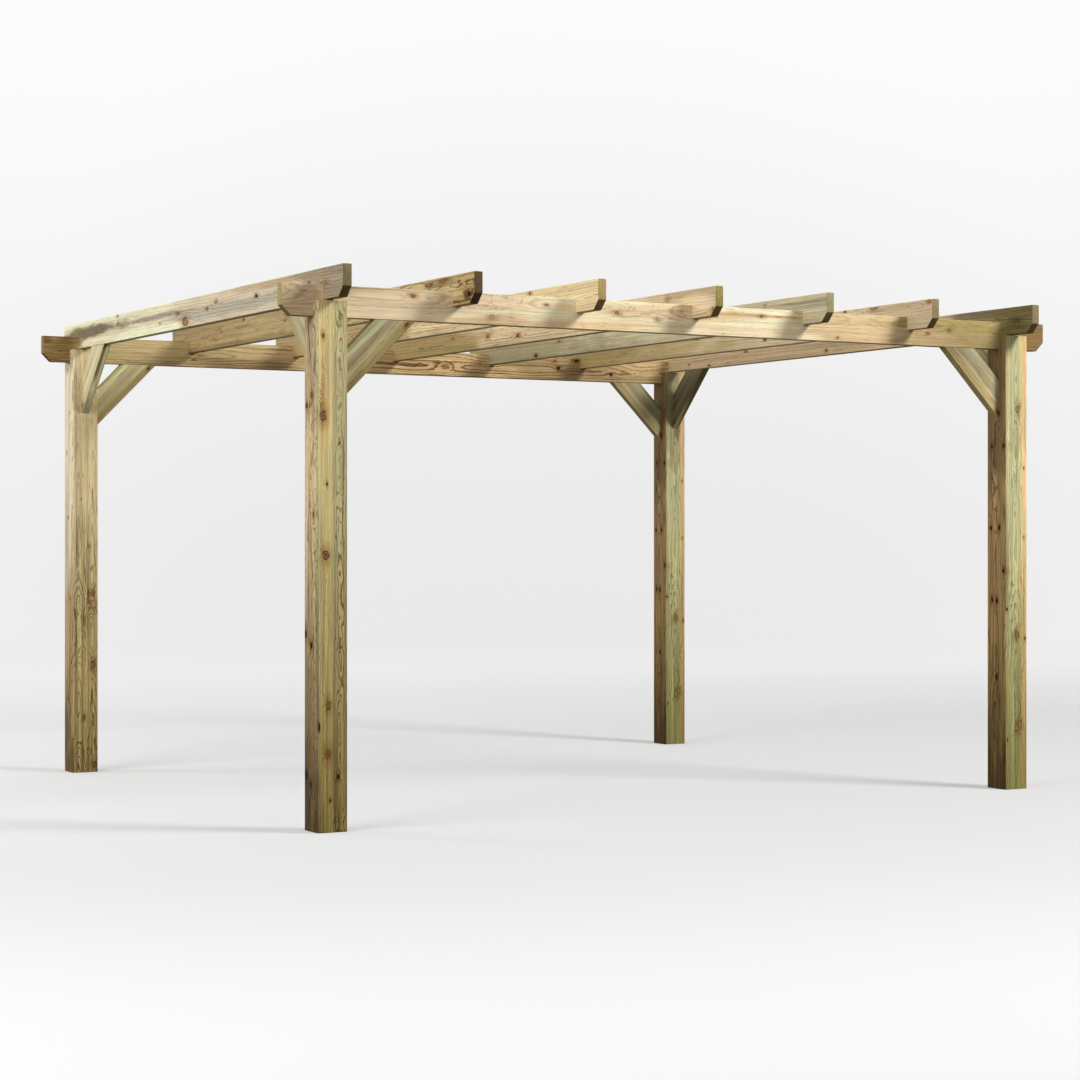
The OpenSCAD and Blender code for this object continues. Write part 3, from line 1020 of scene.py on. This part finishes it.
# %% Shade, paint and attach the timbers
for number, node in enumerate(timbers):
    piece = pieces[node]
    choose(piece)
    bpy.ops.object.shade_smooth_by_angle(angle=math.radians(32))
    piece.data.materials.clear()
    piece.data.materials.append(timber_wood(node, LOOKS[node], seed=100 + number))
    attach(piece, "root")
    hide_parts(node)
print("wood made for", len(timbers), "timbers")

# %% [markdown]
# ## Studio
#
# The pergola stands on a pale floor that fades into a pale backdrop. The fade is made in
# the floor's material: past a few metres it lets the backdrop through, so no horizon
# shows from any side. A real studio would use a curved paper sweep, but a sweep has a
# right and a wrong side, and this object is looked at from all round. Part of the floor's
# brightness is its own, seen by the camera only, so the shadows on it stay light. Close
# under the lamp the floor is painted darker, so that it looks evenly lit, and for the
# light that it throws back up it is a plain grey. A soft patch in front of the frame is
# painted darker still, a painted shadow of the roof.

# %% Floor
UNDER_KEY = (2.0, -6.0, 0.0)
TO_BACK_RIGHT = (0.49, 0.87, 0.0)
PAINTED_ROOF_SHADOW = (1.4, -3.0, 0.0)
BOUNCE_GREY = (0.16, 0.16, 0.16, 1.0)
FADE_FROM, FADE_TO = 5.0, 22.0

bpy.ops.object.select_all(action="DESELECT")
bpy.ops.mesh.primitive_circle_add(vertices=128, radius=40, fill_type="NGON", location=(0, 0, 0))
floor = bpy.context.object
floor.name = "studio_floor"

floor_material = bpy.data.materials.new("studio_floor")
floor_material.use_nodes = True
tree = floor_material.node_tree
tree.nodes.clear()
output = tree.nodes.new("ShaderNodeOutputMaterial")
seen = tree.nodes.new("ShaderNodeLightPath")
shows = calc(tree, "MAXIMUM", seen.outputs["Is Camera Ray"], seen.outputs["Is Glossy Ray"])
place = tree.nodes.new("ShaderNodeTexCoord").outputs["Object"]
from_middle = vector(tree, "LENGTH", place)
paper = tree.nodes.new("ShaderNodeBsdfDiffuse")
from_key = vector(tree, "DISTANCE", place, UNDER_KEY)
shade = vector(tree, "SCALE", (1, 1, 1), scale=ramp(tree, from_key, 4.0, 12.0, 0.42, 0.72))
plug(tree, paper.inputs["Color"], mix(tree, shows, BOUNCE_GREY, shade))
level = ramp(tree, from_key, 4.0, 9.0, 0.340, 0.27)
level = calc(tree, "ADD", level, ramp(tree, from_key, 8.5, 19.0, 0.0, 0.27))
back_right = vector(tree, "DOT_PRODUCT", place, TO_BACK_RIGHT)
level = calc(tree, "ADD", level, ramp(tree, back_right, -7.6, -3.6, 0.14, 0.0))
# Painted shadow: a soft darker patch on the floor in front of the frame, where the roof's shadow
# would fall.
from_painted_shadow = vector(tree, "DISTANCE", place, PAINTED_ROOF_SHADOW)
level = calc(tree, "ADD", level, ramp(tree, from_painted_shadow, 0.5, 3.0, -0.04, 0.0))
lift = tree.nodes.new("ShaderNodeEmission")
plug(tree, lift.inputs["Color"], (1, 1, 1, 1))
plug(tree, lift.inputs["Strength"], times(tree, shows, level))
lit = tree.nodes.new("ShaderNodeAddShader")
plug(tree, lit.inputs[0], paper.outputs[0])
plug(tree, lit.inputs[1], lift.outputs[0])
clear = tree.nodes.new("ShaderNodeBsdfTransparent")
blend = tree.nodes.new("ShaderNodeMixShader")
plug(tree, blend.inputs[0], ramp(tree, from_middle, FADE_FROM, FADE_TO))
plug(tree, blend.inputs[1], lit.outputs[0])
plug(tree, blend.inputs[2], clear.outputs[0])
plug(tree, output.inputs["Surface"], blend.outputs[0])
floor.data.materials.append(floor_material)
print("floor fades from", FADE_FROM, "to", FADE_TO, "m")

# %% [markdown]
# ## Backdrop and sky
#
# The camera sees a pale wall, a little brighter higher up. The timbers are lit by a
# fainter sky instead, stronger from behind, so that the backdrop can be almost white
# without washing out the wood. Light Path tells the two apart.

# %% Backdrop and sky of the studio
world = bpy.data.worlds.new("studio")
bpy.context.scene.world = world
world.use_nodes = True
tree = world.node_tree
background = tree.nodes["Background"]
seen = tree.nodes.new("ShaderNodeLightPath")
shows = calc(tree, "MAXIMUM", seen.outputs["Is Camera Ray"], seen.outputs["Is Glossy Ray"])
shows = calc(tree, "MAXIMUM", shows, seen.outputs["Is Transmission Ray"])
direction = tree.nodes.new("ShaderNodeTexCoord").outputs["Generated"]
behind = ramp(tree, vector(tree, "DOT_PRODUCT", direction, (0, 1, 0)), 0.0, 1.0)
up = vector(tree, "DOT_PRODUCT", direction, (0, 0, 1))
glow = calc(tree, "MULTIPLY_ADD", behind, 0.6, 0.20)
glow = times(tree, glow, ramp(tree, up, -0.05, 0.05, 0.1, 1.0))
glow = vector(tree, "SCALE", (1, 1, 1), scale=glow)
ahead = vector(tree, "DOT_PRODUCT", direction, (math.sin(CAMERA_TURN), math.cos(CAMERA_TURN), 0))
wall = ramp(tree, up, -0.04, 0.24, 0.82, 0.94)
wall = calc(tree, "ADD", wall, ramp(tree, ahead, 0.97, 1.0, 0.04, 0.0))
wall = vector(tree, "SCALE", (1, 1, 1), scale=wall)
plug(tree, background.inputs["Color"], mix(tree, shows, glow, wall))
print("backdrop:", len(tree.nodes), "nodes")

# %% [markdown]
# ## Lamps
#
# A large lamp high on the front right throws the soft shadows and a weak fill from the
# front opens them. A very broad lamp on the left lights the sides that face it without a
# second shadow, and a small one lifts the back left corner.

# %% Lamps
def softbox(name, place, aim, size, power):
    lamp = bpy.data.lights.new(name, "AREA")
    lamp.shape = "SQUARE"
    lamp.size = size
    lamp.energy = power
    holder = bpy.data.objects.new(name, lamp)
    holder.location = place
    holder.rotation_euler = (Vector(aim) - Vector(place)).to_track_quat("-Z", "Y").to_euler()
    bpy.context.scene.collection.objects.link(holder)
    print(name, size, "m,", power, "W")


softbox("key_lamp", (5.5, -7.5, 8.0), (0, 0, 1.8), 3.0, 975)
softbox("front_fill", (-1.0, -8.0, 3.2), (0, -1.66, 2.2), 2.5, 40)
softbox("left_lamp", (-11.5, -4.5, 7.5), (0, 0, 2.0), 7.0, 840)
softbox("back_left_lamp", (-5.4, 3.4, 4.0), (-1.97, 1.66, 2.2), 1.5, 60)
